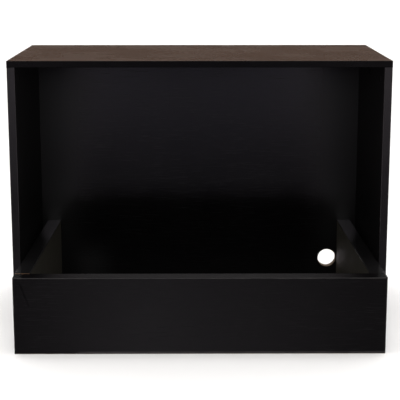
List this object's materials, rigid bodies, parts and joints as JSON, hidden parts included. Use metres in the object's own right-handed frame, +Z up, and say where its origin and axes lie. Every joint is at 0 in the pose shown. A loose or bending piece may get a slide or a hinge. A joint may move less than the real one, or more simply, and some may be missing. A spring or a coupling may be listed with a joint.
{
  "type": "aquarium stand cabinet",
  "caption": "Open-fronted cabinet for a tank on its flat top, with a low U-shaped base frame of a front board and side rails that stands forward of it, and a round cable hole at the back.",
  "frame": {"origin": "on the floor, at the middle of the footprint of the whole object", "axes": "+X to the right as seen from the open front, +Y toward the back panel, +Z up"},
  "size_m": [0.914, 0.563, 0.674],
  "materials": {
    "black_laminate": "satin black laminate on particle board",
    "top_laminate": "satin dark brown woodgrain laminate",
    "edge_band": "semi-gloss black edging",
    "zinc": "bare die cast zinc",
    "plated_steel": "bright plated steel",
    "cap_plastic": "black moulded plastic",
    "beech": "fluted beech, unfinished"
  },
  "bodies": {
    "root": {"top_panel": "top_laminate", "top_front_band": "edge_band", "top_rear_band": "edge_band", "top_left_band": "edge_band", "top_right_band": "edge_band", "left_side_panel": "black_laminate", "left_side_front_band": "edge_band", "left_side_rear_band": "edge_band", "right_side_panel": "black_laminate", "right_side_front_band": "edge_band", "right_side_rear_band": "edge_band", "back_panel": "black_laminate", "front_board": "black_laminate", "front_board_top_band": "edge_band", "front_board_left_band": "edge_band", "front_board_right_band": "edge_band", "left_base_rail": "black_laminate", "left_rail_top_band": "edge_band", "right_base_rail": "black_laminate", "right_rail_top_band": "edge_band", "floor_panel": "black_laminate", "cam_discs": "zinc", "cam_bolts": "plated_steel", "cam_cover_caps": "cap_plastic", "wood_dowels": "beech", "rail_rear_screws": "plated_steel"}
  },
  "joints": []
}
